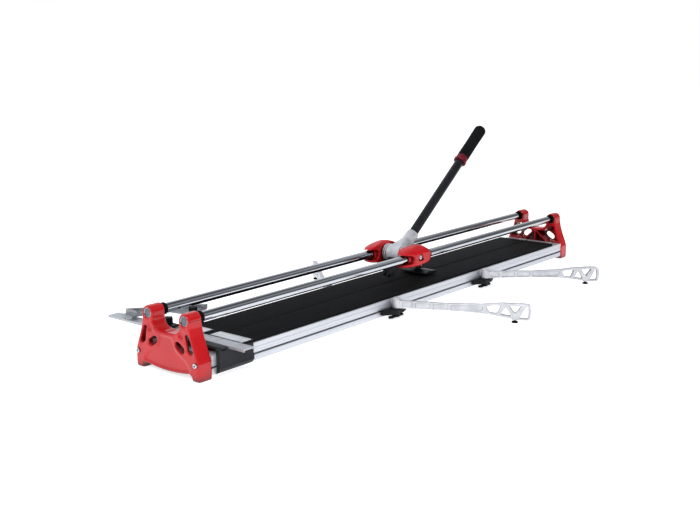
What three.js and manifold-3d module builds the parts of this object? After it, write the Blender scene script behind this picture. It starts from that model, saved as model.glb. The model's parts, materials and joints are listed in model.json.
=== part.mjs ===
// Manual tile cutter with twin guide rails, a lever carriage, a lateral stop and four swing-out arms.
//
// Frame: millimetres, +Z up. +X runs along the cut, away from the end that has the lateral stop.
// The origin is on the top of the breaking rib at mid length. Inside this file heights are measured
// from the floor, and one group at the end lowers everything by the rib's height.

import * as THREE from "three";
import { mergeVertices } from "three/addons/utils/BufferGeometryUtils.js";
import Module from "manifold-3d";

const wasm = await Module();
wasm.setup();

// ---------------------------------------------------------------- driving dimensions

const GAP = 0.3; // clearance between pieces that touch
const RIB_TOP = 65; // height of the breaking rib above the floor, and of the origin

const SUPPORT_FACE = 912; // outer face of each end support, from mid length
const SUPPORT_DEPTH = 44;
const SUPPORT_INNER = SUPPORT_FACE - SUPPORT_DEPTH;
const SUPPORT_HALF_WIDTH = 113;
const SUPPORT_WALL = 9;

const RAIL_RADIUS = 12.5;
const RAIL_HALF_SPACING = 65;
const RAIL_HEIGHT = 143;
const RAIL_HALF_LENGTH = 910;
const BOSS_RADIUS = 18.5;

const PROFILE_TOP = 56.2;
const PROFILE_BOTTOM = 10;
const PROFILE_OUTER = 110;
const PROFILE_INNER = 74;
const SLOT_BOTTOM = 25;
const SLOT_TOP = 30;

const PAD_TOP = 64;
const PAD_OUTER = 107.5;
const PAD_INNER = 3;
const PAD_HALF_LENGTH = 811;

const BOLT_Y = 102;
const BOLT_Z = 42;

const PIVOT_X = 15; // carriage centre and lever pivot, at rest
const PIVOT_Z = 147;
const CHEEK_INNER = 40;
const CHEEK_OUTER = 91;
const BUSH_RADIUS = 16;
const SHAFT_RADIUS = 8;
const HUB_RADIUS = 26;
const HUB_HALF_WIDTH = 36;

const HANDLE_ANGLE = THREE.MathUtils.degToRad(37.6);
const MOUTH_X = 98; // centre of the socket's mouth, where the tube goes in
const MOUTH_Z = 196;
const TUBE_RADIUS = 14.3;
const GRIP_START = 346; // distances along the handle from the socket's mouth
const GRIP_END = 491;
const GRIP_RADIUS = 19.6;

const WHEEL_X = -25;
const WHEEL_Z = 88;
const WHEEL_RADIUS = 10.5;
const WHEEL_AXLE_RADIUS = 2.5;

const FOOT_PIN_X = 128;
const FOOT_PIN_Z = 91;
const FOOT_HALF_WIDTH = 50;

const BEAM_NEAR = -845; // lateral stop, along X
const BEAM_FAR = -738;
const BEAM_HALF_WIDTH = 122;
const BEAM_BOTTOM = 65.4;
const BEAM_FLOOR = 66.1; // top of the beam's floor, which the sliding bar runs on
const BAR_NEAR = -822;
const BAR_FAR = -786;
const BAR_START = -173; // sliding bar, along Y
const BAR_END = 333;
const BAR_TOP = 73;

const LOCK_X = -807; // lock knob of the sliding bar
const LOCK_Y = 110;
const SQUARE_X = -807; // pivot of the set square
const SQUARE_Y = 255;
const SQUARE_LIFT = 79.6; // underside of the set square's blade
const SQUARE_KNOB_AT = [131, -94]; // fin's clamping knob, from the pivot

const ARM_LENGTH = 380;
const ARM_THICKNESS = 14;
const ARM_PIVOT_Y = 128;
const ARM_TOP = 53;
const ARM_BARREL_TOP = 58;
const ARM_BARREL_BOTTOM = 31;
const ARM_FOOT_AT = 337;
const BRACKET_TOP = 29.9; // just under the folded arm
const ARM_KNOB_Y = 2; // knob screw, from the pivot towards the table
const TRUNNION_RADIUS = 6;
// name, pivot position along X, side of the machine, angle from +X at rest
const ARMS = [
  ["near_right", -158, -1, -60],
  ["far_right", 322, -1, -43.5],
  ["near_left", -158, 1, 47.5],
  ["far_left", 322, 1, 35.5],
];

// ---------------------------------------------------------------- materials

function finish(color, roughness, metalness) {
  return new THREE.MeshStandardMaterial({ color, roughness, metalness });
}

const MATERIALS = {
  redPaint: [0xc8202a, 0.25, 0.0],
  chrome: [0xd8dce0, 0.12, 1.0],
  aluminium: [0xd2d6dc, 0.42, 0.9],
  castAluminium: [0xc9cdd2, 0.5, 0.8],
  steel: [0x9a9da1, 0.3, 1.0],
  rubber: [0x1b1d1f, 0.85, 0.0],
  blackPlastic: [0x2c3036, 0.5, 0.0],
  blackPaint: [0x16181c, 0.4, 0.3],
  darkRed: [0x7a0f1c, 0.3, 0.2],
};

// ---------------------------------------------------------------- solids

function solid(geometry) {
  const bare = geometry.index ? geometry.toNonIndexed() : geometry.clone();
  bare.deleteAttribute("normal");
  bare.deleteAttribute("uv");
  const merged = mergeVertices(bare, 1e-4);
  return new wasm.Manifold(
    new wasm.Mesh({
      numProp: 3,
      vertProperties: merged.attributes.position.array,
      triVerts: new Uint32Array(merged.index.array),
    }),
  );
}

function geometryOf(made) {
  const mesh = made.getMesh();
  const positions = new Float32Array(mesh.numVert * 3);
  for (let i = 0; i < mesh.numVert; i += 1) {
    const at = i * mesh.numProp;
    positions.set(mesh.vertProperties.subarray(at, at + 3), i * 3);
  }
  const geometry = new THREE.BufferGeometry();
  geometry.setAttribute("position", new THREE.BufferAttribute(positions, 3));
  geometry.setIndex(new THREE.BufferAttribute(mesh.triVerts, 1));
  return geometry;
}

function unite(first, ...rest) {
  return rest.reduce((sum, next) => sum.add(next), first);
}

function cut(first, ...rest) {
  return rest.reduce((sum, next) => sum.subtract(next), first);
}

function box(x0, x1, y0, y1, z0, z1) {
  const geometry = new THREE.BoxGeometry(x1 - x0, y1 - y0, z1 - z0);
  geometry.translate((x0 + x1) / 2, (y0 + y1) / 2, (z0 + z1) / 2);
  return solid(geometry);
}

// A cylinder along "x", "y" or "z", from low to high on that axis, centred on a and b of the other two.
function rod(axis, low, high, a, b, radius, sides = 24, farRadius = radius) {
  const geometry = new THREE.CylinderGeometry(farRadius, radius, high - low, sides);
  const middle = (low + high) / 2;
  if (axis === "x") {
    geometry.rotateZ(-Math.PI / 2);
    geometry.translate(middle, a, b);
  } else if (axis === "y") {
    geometry.translate(a, middle, b);
  } else {
    geometry.rotateX(Math.PI / 2);
    geometry.translate(a, b, middle);
  }
  return solid(geometry);
}

// A body turned about the Z axis from [radius, height] points that start and end on the axis.
function turned(points, sides = 20) {
  const profile = points.map(([r, h]) => new THREE.Vector2(r, h));
  const geometry = new THREE.LatheGeometry(profile, sides);
  geometry.rotateX(Math.PI / 2);
  return solid(geometry);
}

function outline(points) {
  return new THREE.Shape(points.map(([a, b]) => new THREE.Vector2(a, b)));
}

function extruded(shape, depth, bevel = 0, curveSegments = 6) {
  return new THREE.ExtrudeGeometry(shape, {
    depth: depth - 2 * bevel,
    curveSegments,
    steps: 1,
    bevelEnabled: bevel > 0,
    bevelSize: bevel,
    bevelThickness: bevel,
    bevelOffset: -bevel,
    bevelSegments: 1,
  });
}

// An outline in Y and Z, extruded along X.
function alongX(shape, x0, x1, bevel = 0, curveSegments = 6) {
  const geometry = extruded(shape, x1 - x0, bevel, curveSegments);
  geometry.translate(0, 0, bevel);
  geometry.rotateZ(Math.PI / 2);
  geometry.rotateY(Math.PI / 2);
  geometry.translate(x0, 0, 0);
  return solid(geometry);
}

// An outline in X and Z, extruded along Y.
function alongY(shape, y0, y1, bevel = 0, curveSegments = 6) {
  const geometry = extruded(shape, y1 - y0, bevel, curveSegments);
  geometry.translate(0, 0, bevel);
  geometry.rotateX(Math.PI / 2);
  geometry.translate(0, y1, 0);
  return solid(geometry);
}

// An outline in X and Y, extruded along Z.
function alongZ(shape, z0, z1, bevel = 0, curveSegments = 6) {
  const geometry = extruded(shape, z1 - z0, bevel, curveSegments);
  geometry.translate(0, 0, z0 + bevel);
  return solid(geometry);
}

function capsule(x0, y0, x1, y1, radius) {
  const direction = Math.atan2(y1 - y0, x1 - x0);
  const shape = new THREE.Shape();
  shape.absarc(x0, y0, radius, direction + Math.PI / 2, direction + (3 * Math.PI) / 2, false);
  shape.absarc(x1, y1, radius, direction - Math.PI / 2, direction + Math.PI / 2, false);
  return shape;
}

// ---------------------------------------------------------------- scene graph

const machine = new THREE.Group();
const fromFloor = new THREE.Group();
fromFloor.position.z = -RIB_TOP;
machine.add(fromFloor);

function piece(name, made, material, parent = fromFloor) {
  const mesh = new THREE.Mesh(geometryOf(made), finish(...MATERIALS[material]));
  mesh.name = name;
  parent.add(mesh);
  return mesh;
}

// Both sides of the machine: name suffix and the sign of Y.
const SIDES = [
  ["right", -1],
  ["left", 1],
];

// Both ends of the machine: name prefix and the sign of X.
const ENDS = [
  ["near", -1],
  ["far", 1],
];

// ---------------------------------------------------------------- base

// Front outline of an end support: two towers that lean in from the feet to the rail bosses.
function supportOutline() {
  const half = [
    [0, 8],
    [30, 9],
    [60, 12],
    [78, 15],
    [86, 9],
    [87, 0],
    [SUPPORT_HALF_WIDTH - 2, 0],
    [SUPPORT_HALF_WIDTH, 3],
    [SUPPORT_HALF_WIDTH, 44],
    [110, 54],
    [104, 69],
    [96, 88],
    [89, 108],
    [85, 126],
  ];
  for (let turn = -10; turn <= 190; turn += 20) {
    const angle = THREE.MathUtils.degToRad(turn);
    half.push([
      RAIL_HALF_SPACING + BOSS_RADIUS * Math.cos(angle),
      RAIL_HEIGHT + BOSS_RADIUS * Math.sin(angle),
    ]);
  }
  half.push([47, 126], [43, 114], [34, 107], [20, 104], [0, 103]);
  const other = half.slice(1, -1).map(([y, z]) => [-y, z]);
  return outline([...half, ...other.reverse()]);
}

// The hollow behind the front plate, with solid legs left for the profiles to butt against.
function supportHollow() {
  const half = [
    [0, 22],
    [68, 22],
    [68, 62],
    [97, 62],
    [86, 92],
    [79, 116],
    [54, 116],
    [42, 96],
    [0, 94],
  ];
  const other = half.slice(1, -1).map(([y, z]) => [-y, z]);
  return outline([...half, ...other.reverse()]);
}

const DENT_DEPTH = 4; // shallow dent in each leg under the rail

function towerWindows(side) {
  const slot = outline([
    [side * 68, 111],
    [side * 79, 111],
    [side * 88, 88],
    [side * 95, 69],
    [side * 88, 64],
    [side * 76, 71],
    [side * 73, 90],
  ]);
  const oval = capsule(side * 41, 80, side * 55, 71, 9);
  const upper = outline([
    [side * 45, 113],
    [side * 60, 120],
    [side * 65, 112],
    [side * 63, 98],
    [side * 48, 101],
  ]);
  const through = [slot, oval].map((shape) => alongX(fixWinding(shape), -1, SUPPORT_WALL + 1));
  return [...through, alongX(fixWinding(upper), -1, DENT_DEPTH)];
}

function fixWinding(shape) {
  const points = shape.getPoints(6);
  return new THREE.Shape(THREE.ShapeUtils.isClockWise(points) ? points.reverse() : points);
}

// A rib of the lattice behind the front plate, from one point of the outline plane to another.
function latticeRib(y0, z0, y1, z1) {
  return alongX(capsule(y0, z0, y1, z1, 2.5), SUPPORT_WALL - 1, SUPPORT_DEPTH - 6, 0, 3);
}

// The support in its own frame: outer face on x = 0, depth towards +x.
function supportSolid() {
  const block = alongX(supportOutline(), 0, SUPPORT_DEPTH, 3);
  const hollow = alongX(supportHollow(), SUPPORT_WALL, SUPPORT_DEPTH + 1);
  const ribs = [latticeRib(0, 15, 0, 98)];
  const windows = [];
  const bores = [];
  for (const side of [-1, 1]) {
    ribs.push(latticeRib(0, 97, side * 72, 30));
    ribs.push(latticeRib(side * 28, 15, side * 70, 62));
    windows.push(...towerWindows(side));
    bores.push(
      rod("x", -1, SUPPORT_DEPTH + 1, side * RAIL_HALF_SPACING, RAIL_HEIGHT, RAIL_RADIUS + GAP, 24),
      rod("x", -1, SUPPORT_DEPTH + 1, side * BOLT_Y, BOLT_Z, 4.3, 12),
    );
  }
  return cut(unite(cut(block, hollow), ...ribs), ...windows, ...bores);
}

const support = supportSolid();

for (const [end, sign] of ENDS) {
  const seat = new THREE.Group();
  seat.position.x = sign * SUPPORT_FACE;
  seat.rotation.z = sign > 0 ? Math.PI : 0;
  fromFloor.add(seat);
  piece(end + "_end_support", support, "redPaint", seat);
}

for (const [side, sign] of SIDES) {
  const y = sign * RAIL_HALF_SPACING;
  const body = rod("x", 2 - RAIL_HALF_LENGTH, RAIL_HALF_LENGTH - 2, y, RAIL_HEIGHT, RAIL_RADIUS, 24);
  const nose = (x0, x1, r0, r1) => rod("x", x0, x1, y, RAIL_HEIGHT, r0, 24, r1);
  const rail = unite(
    body,
    nose(-RAIL_HALF_LENGTH, 2 - RAIL_HALF_LENGTH, RAIL_RADIUS - 1.5, RAIL_RADIUS),
    nose(RAIL_HALF_LENGTH - 2, RAIL_HALF_LENGTH, RAIL_RADIUS, RAIL_RADIUS - 1.5),
  );
  piece("guide_rail_" + side, rail, "chrome");
}

const BUFFER_LENGTH = 12;
const BUFFER_RADIUS = 15.4;

// A rubber ring on the rail beside each support, which the carriage runs up against.
for (const [end, endSign] of ENDS) {
  for (const [side, sign] of SIDES) {
    const ends = [endSign * (SUPPORT_INNER - GAP), endSign * (SUPPORT_INNER - BUFFER_LENGTH)];
    const low = Math.min(...ends);
    const high = Math.max(...ends);
    const y = sign * RAIL_HALF_SPACING;
    const ring = cut(
      rod("x", low, high, y, RAIL_HEIGHT, BUFFER_RADIUS),
      rod("x", low - 1, high + 1, y, RAIL_HEIGHT, RAIL_RADIUS + GAP),
    );
    piece("rail_buffer_" + end + "_" + side, ring, "rubber");
  }
}

// Extruded side profile: a hollow box with a T-slot in its outer face and a screw port near the top.
function profileSolid(sign) {
  const length = SUPPORT_INNER - GAP;
  const bar = (y0, y1, z0, z1, reach = length) => {
    const ys = [sign * y0, sign * y1].sort((a, b) => a - b);
    return box(-reach, reach, ys[0], ys[1], z0, z1);
  };
  const past = length + 5;
  return cut(
    bar(PROFILE_INNER, PROFILE_OUTER, PROFILE_BOTTOM, PROFILE_TOP),
    bar(77, 94, 38, 53.4, past),
    bar(77, 95, 13, 35, past),
    bar(105, 111, SLOT_BOTTOM, SLOT_TOP, past),
    bar(98, 105.5, 20, 35, past),
    rod("x", -past, 36 - past, sign * BOLT_Y, BOLT_Z, 4.3, 16),
    rod("x", past - 36, past, sign * BOLT_Y, BOLT_Z, 4.3, 16),
  );
}

for (const [side, sign] of SIDES) {
  piece("side_profile_" + side, profileSolid(sign), "aluminium");
}

function deckSolid() {
  const reach = SUPPORT_INNER - GAP;
  const edge = PROFILE_INNER - GAP;
  return unite(
    box(-reach, reach, -edge, edge, 51.2, PROFILE_TOP),
    box(-reach, reach, -edge, 4 - edge, 30, 52),
    box(-reach, reach, edge - 4, edge, 30, 52),
    box(-reach, reach, -10, -6, 36, 52),
    box(-reach, reach, 6, 10, 36, 52),
    box(-reach, reach, -10, 10, 33, 37),
  );
}

piece("table_deck", deckSolid(), "aluminium");

// The table top is relieved a little where the lateral stop is parked.
const PARK_END = -737.5;
const PARK_RELIEF = 0.5;

const ribReach = PAD_HALF_LENGTH + 1;
const rib = unite(
  box(-ribReach, PARK_END, -2.6, 2.6, PROFILE_TOP + GAP, RIB_TOP - PARK_RELIEF),
  box(PARK_END, ribReach, -2.6, 2.6, PROFILE_TOP + GAP, RIB_TOP),
);
piece("breaking_rib", rib, "blackPaint");

for (const [side, sign] of SIDES) {
  const ys = [sign * PAD_INNER, sign * PAD_OUTER].sort((a, b) => a - b);
  const parked = box(-PAD_HALF_LENGTH, PARK_END, ...ys, PROFILE_TOP + GAP, PAD_TOP - PARK_RELIEF);
  const open = box(PARK_END, PAD_HALF_LENGTH, ...ys, PROFILE_TOP + GAP, PAD_TOP);
  piece("rubber_pad_" + side, unite(parked, open), "rubber");
}

for (const [end, endSign] of ENDS) {
  for (const [side, sign] of SIDES) {
    const seat = new THREE.Group();
    seat.position.set(endSign * SUPPORT_FACE, sign * BOLT_Y, BOLT_Z);
    seat.rotation.y = endSign > 0 ? Math.PI : 0;
    fromFloor.add(seat);
    const bolt = cut(
      unite(rod("x", -4, -GAP, 0, 0, 6, 16), rod("x", -GAP - 1, 70, 0, 0, 4, 12)),
      rod("x", -5, -1.5, 0, 0, 3, 6),
    );
    piece("support_bolt_" + end + "_" + side, bolt, "chrome", seat);
  }
}

// ---------------------------------------------------------------- carriage

// Side outline of a cheek, about the pivot's X: a crown over the rail, a beak, and a lobe below.
function cheekOutline() {
  const shape = new THREE.Shape();
  shape.moveTo(-71, 158.5);
  shape.quadraticCurveTo(-46, 176, 5, 179.5);
  shape.quadraticCurveTo(52, 179, 81, 143);
  shape.quadraticCurveTo(83, 131, 68, 123);
  shape.quadraticCurveTo(56, 112, 38, 115);
  shape.lineTo(-20, 115);
  shape.lineTo(-56, 119);
  shape.quadraticCurveTo(-70, 120, -71, 128);
  return shape;
}

// Cross section of a cheek over the rail: upright flanks under a rounded crown.
function cheekArch(sign) {
  const points = [
    [40, 100],
    [40, 168],
    [45, 174],
    [54, 178.5],
    [65, 180],
    [76, 178],
    [85, 172],
    [91, 161],
    [91, 100],
  ];
  return outline(points.map(([y, z]) => [sign * y, z]));
}

// Plan of a cheek, narrower at both ends.
function cheekPlan(sign) {
  const points = [
    [-72, 58],
    [-65, 50],
    [-50, 43],
    [-30, 40],
    [58, 40],
    [72, 46],
    [81, 56],
    [81, 74],
    [72, 85],
    [58, 91],
    [-30, 91],
    [-50, 88],
    [-65, 80],
    [-72, 72],
  ];
  return outline(points.map(([x, y]) => [x, sign * y]));
}

function cheekSolid(sign) {
  const [y0, y1] = sign > 0 ? [CHEEK_INNER, CHEEK_OUTER] : [-CHEEK_OUTER, -CHEEK_INNER];
  const shell = alongY(cheekOutline(), y0, y1, 4, 8)
    .intersect(alongX(fixWinding(cheekArch(sign)), -100, 100))
    .intersect(alongZ(fixWinding(cheekPlan(sign)), 90, 200));
  const y = sign * RAIL_HALF_SPACING;
  const height = RAIL_HEIGHT;
  const mouth = unite(
    rod("y", y0 - 1, y1 + 1, -50, height, 15),
    box(-100, -50, y0 - 1, y1 + 1, height - 15, height + 15),
  );
  const shaftEnds = [sign * (CHEEK_INNER - 1), sign * 47.3].sort((a, b) => a - b);
  const recess = [sign * (CHEEK_OUTER - 5), sign * (CHEEK_OUTER + 1)].sort((a, b) => a - b);
  const screw = [sign * 81.5, sign * (CHEEK_OUTER + 1)].sort((a, b) => a - b);
  return cut(
    shell,
    mouth,
    rod("x", -90, 90, y, height, BUSH_RADIUS + GAP),
    rod("y", shaftEnds[0], shaftEnds[1], 0, PIVOT_Z, SHAFT_RADIUS + GAP),
    rod("y", recess[0], recess[1], 0, PIVOT_Z - 2, 9),
    rod("y", screw[0], screw[1], 0, PIVOT_Z - 2, 4.3, 16),
  );
}

const carriage = new THREE.Group();
carriage.position.x = PIVOT_X;
fromFloor.add(carriage);

for (const [side, sign] of SIDES) {
  const y = sign * RAIL_HALF_SPACING;
  piece("carriage_cheek_" + side, cheekSolid(sign), "redPaint", carriage);
  const bush = cut(
    rod("x", -34, 70, y, RAIL_HEIGHT, BUSH_RADIUS),
    rod("x", -35, 71, y, RAIL_HEIGHT, RAIL_RADIUS + GAP),
  );
  piece("rail_bushing_" + side, bush, "blackPlastic", carriage);
  const face = CHEEK_OUTER - 5;
  const headEnds = [sign * (face + GAP), sign * (face + 5)].sort((a, b) => a - b);
  const stemEnds = [sign * 81.8, sign * (face + 1)].sort((a, b) => a - b);
  const adjuster = unite(
    rod("y", headEnds[0], headEnds[1], 0, PIVOT_Z - 2, 6.5, 6),
    rod("y", stemEnds[0], stemEnds[1], 0, PIVOT_Z - 2, 4, 16),
  );
  piece("bushing_adjuster_" + side, adjuster, "chrome", carriage);
  const washerEnds = [sign * (HUB_HALF_WIDTH + GAP), sign * (CHEEK_INNER - GAP)].sort((a, b) => a - b);
  const washer = cut(
    rod("y", washerEnds[0], washerEnds[1], 0, PIVOT_Z, 24),
    rod("y", washerEnds[0] - 1, washerEnds[1] + 1, 0, PIVOT_Z, SHAFT_RADIUS + GAP),
  );
  piece("thrust_washer_" + side, washer, "blackPlastic", carriage);
}

piece("pivot_shaft", rod("y", -47, 47, 0, PIVOT_Z, SHAFT_RADIUS), "steel", carriage);

// ---------------------------------------------------------------- lever handle

// A solid modelled along +Z, laid along the handle with its zero at the socket's mouth.
function alongHandle(made) {
  const geometry = geometryOf(made);
  geometry.rotateY(Math.PI / 2 - HANDLE_ANGLE);
  geometry.translate(MOUTH_X, 0, MOUTH_Z);
  return solid(geometry);
}

function tubeAt(s0, s1, r0, r1 = r0, sides = 24) {
  return alongHandle(rod("z", s0, s1, 0, 0, r0, sides, r1));
}

function headSolid() {
  const hub = rod("y", -HUB_HALF_WIDTH, HUB_HALF_WIDTH, PIVOT_X, PIVOT_Z, HUB_RADIUS, 32);
  const socket = tubeAt(-86, 0, 22, 19);
  const web = alongY(
    outline([
      [PIVOT_X - 6, 171],
      [PIVOT_X + 22, 134],
      [84, 172],
      [76, 190],
      [40, 182],
    ]),
    -8,
    8,
  );
  return cut(
    unite(hub, socket, web),
    rod("y", -40, 40, PIVOT_X, PIVOT_Z, SHAFT_RADIUS + GAP),
    tubeAt(-44, 1, TUBE_RADIUS + GAP),
    rod("y", -30, 0, 79, 180.5, 3.3, 12),
  );
}

piece("handle_head", headSolid(), "castAluminium");
piece("handle_tube", tubeAt(GAP - 44, GRIP_END - 8, TUBE_RADIUS), "blackPaint");
piece("socket_screw", rod("y", -20.5, -15, 79, 180.5, 3, 12), "steel");

const ringSolid = alongHandle(
  cut(
    turned([
      [0, GRIP_START - 22],
      [19.7, GRIP_START - 22],
      [21.2, GRIP_START - 20],
      [21.2, GRIP_START - 13],
      [19.2, GRIP_START - 11],
      [19.2, GRIP_START - GAP],
      [0, GRIP_START - GAP],
    ]),
    rod("z", GRIP_START - 24, GRIP_START + 1, 0, 0, TUBE_RADIUS + GAP),
  ),
);
piece("grip_ring", ringSolid, "darkRed");

function gripSolid() {
  const points = [
    [0, GRIP_START],
    [GRIP_RADIUS, GRIP_START],
    [GRIP_RADIUS - 0.8, GRIP_START + 60],
    [GRIP_RADIUS, GRIP_END - 16],
  ];
  for (let turn = 25; turn <= 75; turn += 25) {
    const angle = THREE.MathUtils.degToRad(turn);
    points.push([GRIP_RADIUS * Math.cos(angle), GRIP_END - 16 + 16 * Math.sin(angle)]);
  }
  points.push([0, GRIP_END]);
  const bore = rod("z", GRIP_START - 1, GRIP_END - 8 + GAP, 0, 0, TUBE_RADIUS + GAP);
  return alongHandle(cut(turned(points), bore));
}

piece("handle_grip", gripSolid(), "rubber");

// Black bracket under the hub: a leg with the scoring wheel's fork, and an arm to the breaker foot.
function jawSolid() {
  const shape = new THREE.Shape();
  const from = THREE.MathUtils.degToRad(202);
  const to = THREE.MathUtils.degToRad(336);
  shape.absarc(PIVOT_X, PIVOT_Z, HUB_RADIUS + GAP, from, to, false);
  for (const [x, z] of [
    [62, 124],
    [100, 107],
    [132, 101],
    [140, 96],
    [139, 85],
    [130, 81],
    [118, 82],
    [96, 90],
    [50, 96],
    [12, 104],
    [-6, 98],
    [-13, 84],
    [-34, 83],
    [-39, 92],
    [-35, 108],
    [-24, 126],
  ]) {
    shape.lineTo(x, z);
  }
  const block = alongY(shape, -14, 14, 0, 12);
  return cut(
    block,
    tubeAt(-90, 2, 22.5, 19.4),
    box(-45, -8, -2.6, 2.6, 70, 102),
    box(110, 145, -6.6, 6.6, 70, 98),
    box(110, 119, -6.6, 6.6, 70, 110),
    rod("y", -13, 13, WHEEL_X, WHEEL_Z, WHEEL_AXLE_RADIUS + GAP, 16),
    rod("y", -15, 15, FOOT_PIN_X, FOOT_PIN_Z, 3.8, 16),
  );
}

piece("jaw_bracket", jawSolid(), "blackPaint");

const wheelSeat = new THREE.Group();
wheelSeat.position.set(WHEEL_X, 0, WHEEL_Z);
wheelSeat.rotation.x = -Math.PI / 2;
fromFloor.add(wheelSeat);
const wheelSolid = cut(
  turned(
    [
      [0, -2],
      [7.5, -2],
      [WHEEL_RADIUS, -0.2],
      [WHEEL_RADIUS, 0.2],
      [7.5, 2],
      [0, 2],
    ],
    24,
  ),
  rod("z", -3, 3, 0, 0, WHEEL_AXLE_RADIUS + GAP, 12),
);
piece("scoring_wheel", wheelSolid, "steel", wheelSeat);
piece("wheel_axle", rod("y", -12.5, 12.5, WHEEL_X, WHEEL_Z, WHEEL_AXLE_RADIUS, 16), "steel");

// Breaker foot: a wide shoe under a lug that rocks on its pin.
function breakerFootSolid() {
  const shoe = alongY(
    outline([
      [100, 71],
      [104, 67.4],
      [156, 67.4],
      [162, 71],
      [158, 75],
      [140, 78],
      [116, 78],
      [104, 75],
    ]),
    -FOOT_HALF_WIDTH,
    FOOT_HALF_WIDTH,
    1.2,
  );
  const lug = unite(
    box(FOOT_PIN_X - 6.5, FOOT_PIN_X + 6.5, -6, 6, 76, FOOT_PIN_Z),
    rod("y", -6, 6, FOOT_PIN_X, FOOT_PIN_Z, 6.5, 20),
  );
  const ridge = box(122, 134, -44, 44, 76, 79.5);
  return cut(unite(shoe, lug, ridge), rod("y", -7, 7, FOOT_PIN_X, FOOT_PIN_Z, 3.8, 16));
}

piece("breaker_foot", breakerFootSolid(), "blackPaint");
piece("breaker_pin", rod("y", -14, 14, FOOT_PIN_X, FOOT_PIN_Z, 3.5, 16), "steel");

// ---------------------------------------------------------------- lateral stop

function stopClamp(sign) {
  const shape = outline([
    [sign * 110.6, BEAM_BOTTOM],
    [sign * 110.6, 9.5],
    [sign * 96, 9.5],
    [sign * 96, 7.5],
    [sign * 108, 7.5],
    [sign * 118, 13],
    [sign * 124.5, 22],
    [sign * 124, 29],
    [sign * 122, 40],
    [sign * 122, 70],
    [sign * 108, 70],
    [sign * 108, BEAM_BOTTOM],
  ]);
  return alongX(fixWinding(shape), BEAM_NEAR - 8, BEAM_FAR);
}

function stopBeamSolid() {
  const width = BEAM_HALF_WIDTH;
  const fence = cut(
    box(-781, BEAM_FAR, -width, width, BEAM_BOTTOM, 70.7),
    box(-790, BEAM_FAR + 1, -13, 13, BEAM_FLOOR, 75),
  );
  const floorPlate = box(-835, -775, -width, width, BEAM_BOTTOM, BEAM_FLOOR);
  const back = box(BEAM_NEAR, -831, -width, width, BEAM_BOTTOM, 72);
  const bridge = unite(
    box(BEAM_NEAR, BAR_NEAR - GAP, 98, width, 66, 80),
    box(BAR_FAR + GAP, -781.5, 98, width, 66, 80),
    box(BEAM_NEAR, -781.5, 98, width, 75, 80),
  );
  const channel = box(BAR_NEAR - GAP, BAR_FAR + GAP, -200, 200, BEAM_FLOOR, BAR_TOP + GAP);
  const screwHole = rod("z", 73, 90, LOCK_X, LOCK_Y, 5.3, 12);
  const beam = unite(fence, floorPlate, back, bridge, stopClamp(-1), stopClamp(1));
  return cut(beam, channel, screwHole);
}

piece("stop_beam", stopBeamSolid(), "blackPlastic");

for (const [side, sign] of SIDES) {
  const ys = [sign * 14, sign * (BEAM_HALF_WIDTH - 1)].sort((a, b) => a - b);
  piece("scale_plate_" + side, box(-780, -745, ys[0], ys[1], 71, 73), "aluminium");
}

function lobedOutline(radius, lobes, depth) {
  const steps = lobes * 3;
  const points = [];
  for (let i = 0; i < steps; i += 1) {
    const angle = (2 * Math.PI * i) / steps;
    const reach = radius - depth * (0.5 - 0.5 * Math.cos(lobes * angle));
    points.push([reach * Math.cos(angle), reach * Math.sin(angle)]);
  }
  return outline(points);
}

const lockSeat = new THREE.Group();
lockSeat.position.set(LOCK_X, LOCK_Y, 0);
fromFloor.add(lockSeat);
const lockKnob = unite(
  alongZ(lobedOutline(13, 5, 3), 84, 102),
  rod("z", 80.3, 85, 0, 0, 8, 16),
  rod("z", 75.3, 81, 0, 0, 5, 16),
);
piece("stop_lock_knob", lockKnob, "blackPlastic", lockSeat);

function barSolid() {
  const slot = box(BAR_NEAR + 3, BAR_FAR - 3, BAR_START - 1, BAR_END + 1, 60, BAR_TOP - 2.6);
  const body = box(BAR_NEAR, BAR_FAR, BAR_START, BAR_END, BEAM_FLOOR + GAP, BAR_TOP);
  return cut(body, slot);
}

piece("fence_bar", barSolid(), "aluminium");

// Swivel set square, measured from its pivot: a foot on the sliding bar, a blade that runs
// diagonally over the table with a rim along its back edge, and a clamped fin at the blade's end.
const squareSeat = new THREE.Group();
squareSeat.position.set(SQUARE_X, SQUARE_Y, 0);
fromFloor.add(squareSeat);

function squareSolid() {
  const foot = rod("z", BAR_TOP + 0.4, SQUARE_LIFT + 1, 0, 0, 15);
  const blade = outline([
    [-10, -16],
    [4, -16],
    [86, -52],
    [94, -90],
    [140, -112],
    [168, -106],
    [174, -98],
    [12, 28],
    [-10, 30],
  ]);
  const rim = outline([
    [8, 30],
    [5, 26],
    [168, -102],
    [171, -98],
  ]);
  const cheek = outline([
    [5, 30],
    [5, -16],
    [9, -16],
    [9, 30],
  ]);
  const fin = outline([
    [146, -113],
    [172, -107],
    [172, -103],
    [146, -109],
  ]);
  const top = SQUARE_LIFT + 3.4;
  return cut(
    unite(
      foot,
      alongZ(fixWinding(blade), SQUARE_LIFT, top),
      alongZ(fixWinding(rim), top - 1, 95),
      alongZ(fixWinding(cheek), top - 1, 95),
      alongZ(fixWinding(fin), top - 1, 96),
    ),
    alongZ(capsule(30, -5, 76, -35, 3.5), SQUARE_LIFT - 1, top + 1),
    rod("z", 70, 78, 0, 0, 4.3, 16),
    rod("z", SQUARE_LIFT - 1, top + 1, SQUARE_KNOB_AT[0], SQUARE_KNOB_AT[1], 4.3, 16),
  );
}

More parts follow.
